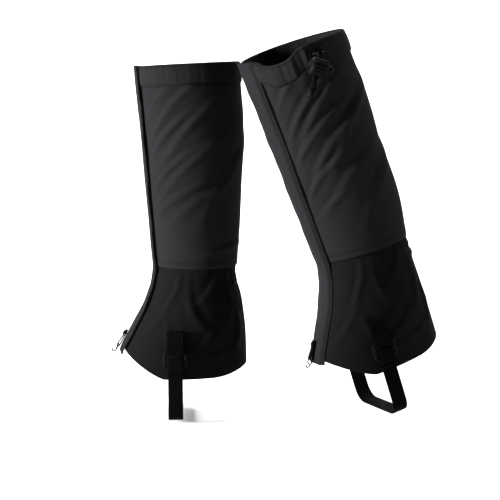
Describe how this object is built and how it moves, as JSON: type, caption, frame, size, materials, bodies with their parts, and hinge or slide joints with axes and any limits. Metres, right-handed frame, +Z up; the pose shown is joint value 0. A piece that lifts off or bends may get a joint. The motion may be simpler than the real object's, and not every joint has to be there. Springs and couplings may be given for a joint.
{
  "type": "gaiters",
  "caption": "Pair of knee-high hiking gaiters: fabric leg tubes with a hook-and-loop front flap, drawcord and cord lock at the rim, lace hook and buckled instep strap.",
  "frame": {"origin": "under the middle of the left gaiter's instep strap, on the underside of the webbing; left and right are as seen from -Y", "axes": "toes towards -X, +Y away from the viewer, +Z up the leg"},
  "size_m": [0.436, 0.2562, 0.516],
  "materials": {
    "oxford_nylon": "matte",
    "ripstop_nylon": "satin",
    "webbing": "matte",
    "fastener_tape": "matte",
    "acetal": "satin",
    "braided_cord": "matte",
    "blackened_steel": "satin",
    "elastic": "matte"
  },
  "bodies": {
    "left_gaiter": {"left_upper_panel": "oxford_nylon", "left_top_casing": "oxford_nylon", "left_flap_foot": "oxford_nylon", "left_lower_panel": "ripstop_nylon", "left_hem_facing": "ripstop_nylon", "left_ankle_elastic": "elastic", "left_loop_tape": "fastener_tape", "left_drawcord": "braided_cord", "left_cord_tail_front": "braided_cord", "left_cord_tail_rear": "braided_cord", "left_eyelet_front": "blackened_steel", "left_eyelet_rear": "blackened_steel", "left_cord_end": "acetal", "left_instep_strap": "webbing", "left_hook_tab": "webbing", "left_hook_rivet": "blackened_steel", "left_lateral_buckle_tab": "webbing", "left_medial_buckle_tab": "webbing"},
    "left_flap": {"left_front_flap": "oxford_nylon", "left_hook_tape": "fastener_tape"},
    "left_cord_lock": {"left_cord_lock_barrel": "acetal", "left_cord_lock_spring": "blackened_steel"},
    "left_lock_plunger": {"left_cord_lock_plunger": "acetal"},
    "left_lateral_buckle": {"left_lateral_buckle": "acetal", "left_lateral_strap_end": "webbing"},
    "left_medial_buckle": {"left_medial_buckle": "acetal", "left_medial_strap_end": "webbing"},
    "left_lace_hook": {"left_lace_hook": "blackened_steel"},
    "right_gaiter": {"right_upper_panel": "oxford_nylon", "right_top_casing": "oxford_nylon", "right_flap_foot": "oxford_nylon", "right_lower_panel": "ripstop_nylon", "right_hem_facing": "ripstop_nylon", "right_ankle_elastic": "elastic", "right_loop_tape": "fastener_tape", "right_drawcord": "braided_cord", "right_cord_tail_front": "braided_cord", "right_cord_tail_rear": "braided_cord", "right_eyelet_front": "blackened_steel", "right_eyelet_rear": "blackened_steel", "right_cord_end": "acetal", "right_instep_strap": "webbing", "right_hook_tab": "webbing", "right_hook_rivet": "blackened_steel", "right_lateral_buckle_tab": "webbing", "right_medial_buckle_tab": "webbing"},
    "right_flap": {"right_front_flap": "oxford_nylon", "right_hook_tape": "fastener_tape"},
    "right_cord_lock": {"right_cord_lock_barrel": "acetal", "right_cord_lock_spring": "blackened_steel"},
    "right_lock_plunger": {"right_cord_lock_plunger": "acetal"},
    "right_lateral_buckle": {"right_lateral_buckle": "acetal", "right_lateral_strap_end": "webbing"},
    "right_medial_buckle": {"right_medial_buckle": "acetal", "right_medial_strap_end": "webbing"},
    "right_lace_hook": {"right_lace_hook": "blackened_steel"}
  },
  "joints": [
    {"name": "left_flap_opens", "type": "hinge", "parent": "left_gaiter", "child": "left_flap", "pos_m": [-0.02781, 0.01746, 0.228], "axis": [0.0787, -0.011, -0.9968], "range_deg": [0, 120]},
    {"name": "left_lock_slides", "type": "slide", "parent": "left_gaiter", "child": "left_cord_lock", "axis": [0, 0, -1], "range_m": [0, 0.008]},
    {"name": "left_plunger_presses", "type": "slide", "parent": "left_cord_lock", "child": "left_lock_plunger", "axis": [-0.9976, -0.0698, 0], "range_m": [0, 0.003], "stiffness_N_per_m": 1200},
    {"name": "left_lateral_buckle_tilts", "type": "hinge", "parent": "left_gaiter", "child": "left_lateral_buckle", "pos_m": [-0.00405, 0.05786, 0.0965], "axis": [0.9976, 0.0698, 0], "range_deg": [0, 40]},
    {"name": "left_medial_buckle_tilts", "type": "hinge", "parent": "left_gaiter", "child": "left_medial_buckle", "pos_m": [0.00405, -0.05786, 0.0965], "axis": [-0.9976, -0.0698, 0], "range_deg": [0, 40]},
    {"name": "left_lace_hook_swings", "type": "hinge", "parent": "left_gaiter", "child": "left_lace_hook", "pos_m": [-0.0773, -0.00541, 0.09675], "axis": [-0.0698, 0.9976, 0], "range_deg": [-25, 25]},
    {"name": "right_flap_opens", "type": "hinge", "parent": "right_gaiter", "child": "right_flap", "pos_m": [0.19409, -0.11126, 0.24539], "axis": [-0.3592, -0.0421, 0.9323], "range_deg": [0, 120]},
    {"name": "right_lock_slides", "type": "slide", "parent": "right_gaiter", "child": "right_cord_lock", "axis": [-0.2249, -0.1812, -0.9574], "range_m": [0, 0.008]},
    {"name": "right_plunger_presses", "type": "slide", "parent": "right_cord_lock", "child": "right_lock_plunger", "axis": [-0.918, -0.29, 0.2706], "range_m": [0, 0.003], "stiffness_N_per_m": 1200},
    {"name": "right_lateral_buckle_tilts", "type": "hinge", "parent": "right_gaiter", "child": "right_lateral_buckle", "pos_m": [0.26941, -0.1385, 0.13105], "axis": [-0.8977, -0.342, -0.2779], "range_deg": [0, 40]},
    {"name": "right_medial_buckle_tilts", "type": "hinge", "parent": "right_gaiter", "child": "right_medial_buckle", "pos_m": [0.23151, -0.0295, 0.11932], "axis": [0.8977, 0.342, 0.2779], "range_deg": [0, 40]},
    {"name": "right_lace_hook_swings", "type": "hinge", "parent": "right_gaiter", "child": "right_lace_hook", "pos_m": [0.18083, -0.1105, 0.10389], "axis": [-0.3267, 0.9397, -0.1011], "range_deg": [-25, 25]},
    {"name": "gaiters_part", "type": "slide", "parent": "left_gaiter", "child": "right_gaiter", "axis": [1, 0, 0], "range_m": [0, 0.15]}
  ]
}
